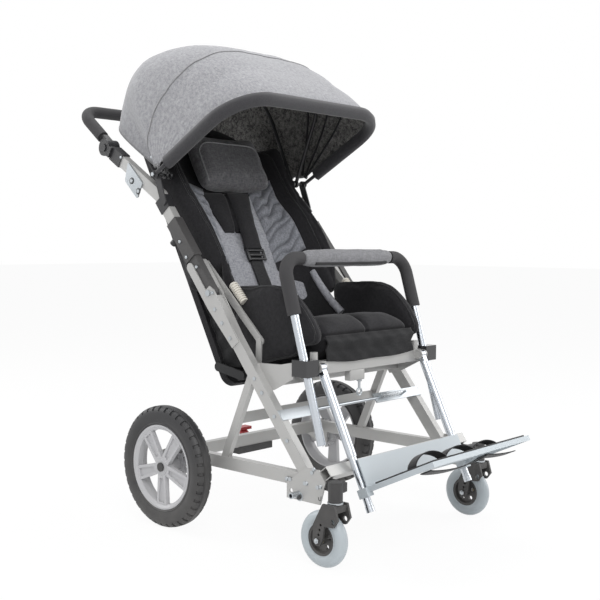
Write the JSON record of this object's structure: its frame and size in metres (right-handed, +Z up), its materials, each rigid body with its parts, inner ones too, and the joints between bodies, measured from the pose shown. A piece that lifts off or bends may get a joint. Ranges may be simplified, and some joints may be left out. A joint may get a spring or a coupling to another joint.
{
  "type": "special needs buggy",
  "caption": "Folding special needs buggy with spoked rear wheels, swivel casters, padded seat, canopy, bumper bar and folding footrest.",
  "frame": {"origin": "on the floor, in the middle of the buggy's width and overall length at rest", "axes": "+Z up, -Y towards the front (footrest), +X towards the occupant's left"},
  "size_m": [0.677, 1.1706, 1.2144],
  "materials": {
    "frame_grey": "light warm grey satin powder coat",
    "zinc": "bright zinc plating",
    "black_plastic": "black moulded plastic, fine grain",
    "dark_plastic": "dark grey moulded plastic",
    "chrome": "polished tube",
    "plate_silver": "pale silver satin coat",
    "grey_plastic": "light grey moulded rim",
    "black_rubber": "black moulded rubber",
    "pale_rubber": "pale blue-grey caster tread",
    "red_plastic": "red pedal",
    "foam": "dark grey closed-cell foam",
    "black_fabric": "black woven upholstery over foam",
    "seat_panel": "black covered panel",
    "grey_fabric": "grey melange cloth"
  },
  "bodies": {
    "chassis": {"bottom_rail_left": "frame_grey", "bottom_rail_right": "frame_grey", "main_tube_left": "frame_grey", "main_tube_right": "frame_grey", "rear_cross_tube": "frame_grey", "front_cross_tube": "frame_grey", "rear_struts": "frame_grey", "frame_plates": "frame_grey", "caster_housings": "black_plastic", "rear_axles": "black_plastic", "fold_brackets": "frame_grey", "frame_bolts": "zinc", "seat_stays": "frame_grey", "seat_side_plates": "frame_grey", "seat_tubes": "frame_grey", "seat_board": "seat_panel", "bumper_clamps": "black_plastic", "lock_bar": "zinc", "lock_spring": "zinc", "brake_housing": "black_plastic", "seat_cushion": "black_fabric", "hip_guard_left": "black_fabric", "hip_guard_right": "black_fabric"},
    "rear_wheel_left": {"rear_tyre_left": "black_rubber", "rear_rim_left": "grey_plastic"},
    "rear_wheel_right": {"rear_tyre_right": "black_rubber", "rear_rim_right": "grey_plastic"},
    "caster_left": {"caster_fork_left": "black_plastic"},
    "caster_right": {"caster_fork_right": "black_plastic"},
    "caster_wheel_left": {"caster_tyre_left": "pale_rubber", "caster_hub_left": "black_plastic"},
    "caster_wheel_right": {"caster_tyre_right": "pale_rubber", "caster_hub_right": "black_plastic"},
    "brake": {"brake_pedal": "red_plastic", "brake_shaft": "zinc"},
    "upper_frame": {"push_tube_left": "frame_grey", "push_tube_right": "frame_grey", "fold_sleeves": "dark_plastic", "canopy_brackets": "black_plastic", "handle_sockets": "black_plastic", "canopy_bow_rear": "black_plastic", "canopy_fabric": "grey_fabric"},
    "knob_left": {"fold_knob_left": "black_plastic"},
    "knob_right": {"fold_knob_right": "black_plastic"},
    "handle": {"handle_bar": "black_plastic", "handle_grip": "foam"},
    "button_left": {"hinge_button_left": "black_plastic"},
    "button_right": {"hinge_button_right": "black_plastic"},
    "canopy_front": {"canopy_bow_front": "foam"},
    "canopy_middle": {"canopy_bow_middle": "black_plastic"},
    "backrest": {"backrest_panel": "seat_panel", "backrest_pad": "black_fabric", "head_cushion": "grey_fabric"},
    "bumper": {"bumper_bar": "chrome", "bumper_foam": "foam", "bumper_cover": "grey_fabric"},
    "footrest": {"footrest_tubes": "chrome"},
    "foot_slide": {"footrest_slides": "chrome", "footplate": "plate_silver"}
  },
  "joints": [
    {"name": "rear_wheel_left_spin", "type": "hinge", "parent": "chassis", "child": "rear_wheel_left", "pos_m": [0.3145, 0.12821, 0.15], "axis": [1, 0, 0], "continuous": true},
    {"name": "caster_left_swivel", "type": "hinge", "parent": "chassis", "child": "caster_left", "pos_m": [0.2835, -0.3908, 0.16], "axis": [0, 0, 1], "continuous": true},
    {"name": "caster_wheel_left_spin", "type": "hinge", "parent": "caster_left", "child": "caster_wheel_left", "pos_m": [0.2835, -0.35979, 0.0625], "axis": [1, 0, 0], "continuous": true},
    {"name": "rear_wheel_right_spin", "type": "hinge", "parent": "chassis", "child": "rear_wheel_right", "pos_m": [-0.3145, 0.12821, 0.15], "axis": [1, 0, 0], "continuous": true},
    {"name": "caster_right_swivel", "type": "hinge", "parent": "chassis", "child": "caster_right", "pos_m": [-0.2835, -0.3908, 0.16], "axis": [0, 0, 1], "continuous": true},
    {"name": "caster_wheel_right_spin", "type": "hinge", "parent": "caster_right", "child": "caster_wheel_right", "pos_m": [-0.2835, -0.35979, 0.0625], "axis": [1, 0, 0], "continuous": true},
    {"name": "brake_press", "type": "hinge", "parent": "chassis", "child": "brake", "pos_m": [0, 0.18621, 0.16], "axis": [-1, 0, 0], "range_deg": [0, 15]},
    {"name": "frame_fold", "type": "hinge", "parent": "chassis", "child": "upper_frame", "pos_m": [0, 0.02275, 0.57905], "axis": [1, 0, 0], "range_deg": [0, 90]},
    {"name": "fold_release_left", "type": "slide", "parent": "upper_frame", "child": "knob_left", "axis": [0, 0.7815, -0.6239], "range_m": [0, 0.006], "stiffness_N_per_m": 600},
    {"name": "fold_release_right", "type": "slide", "parent": "upper_frame", "child": "knob_right", "axis": [0, 0.7815, -0.6239], "range_m": [0, 0.006], "stiffness_N_per_m": 600},
    {"name": "handle_angle", "type": "hinge", "parent": "upper_frame", "child": "handle", "pos_m": [0, 0.42589, 0.95042], "axis": [1, 0, 0], "range_deg": [-60, 30]},
    {"name": "hinge_button_left_press", "type": "slide", "parent": "upper_frame", "child": "button_left", "axis": [-1, 0, 0], "range_m": [0, 0.004], "stiffness_N_per_m": 600},
    {"name": "hinge_button_right_press", "type": "slide", "parent": "upper_frame", "child": "button_right", "axis": [1, 0, 0], "range_m": [0, 0.004], "stiffness_N_per_m": 600},
    {"name": "canopy_open", "type": "hinge", "parent": "upper_frame", "child": "canopy_front", "pos_m": [0, 0.21303, 0.87041], "axis": [-1, 0, 0], "range_deg": [0, 75], "deforming": ["canopy_fabric"]},
    {"name": "canopy_follow", "type": "hinge", "parent": "upper_frame", "child": "canopy_middle", "pos_m": [0, 0.21303, 0.87041], "axis": [-1, 0, 0], "range_deg": [0, 41.25]},
    {"name": "backrest_recline", "type": "hinge", "parent": "chassis", "child": "backrest", "pos_m": [0, 0.07115, 0.39001], "axis": [-1, 0, 0], "range_deg": [-10, 20]},
    {"name": "bumper_height", "type": "slide", "parent": "chassis", "child": "bumper", "axis": [0, -0.2807, -0.9598], "range_m": [-0.12, 0.02]},
    {"name": "footrest_angle", "type": "hinge", "parent": "chassis", "child": "footrest", "pos_m": [0, -0.2718, 0.418], "axis": [-1, 0, 0], "range_deg": [0, 60]},
    {"name": "footrest_length", "type": "slide", "parent": "footrest", "child": "foot_slide", "axis": [0, 0.4337, 0.9011], "range_m": [-0.03, 0.07]}
  ],
  "couplings": [
    {"joint": "canopy_follow", "follows": "canopy_open", "ratio": 0.55}
  ]
}
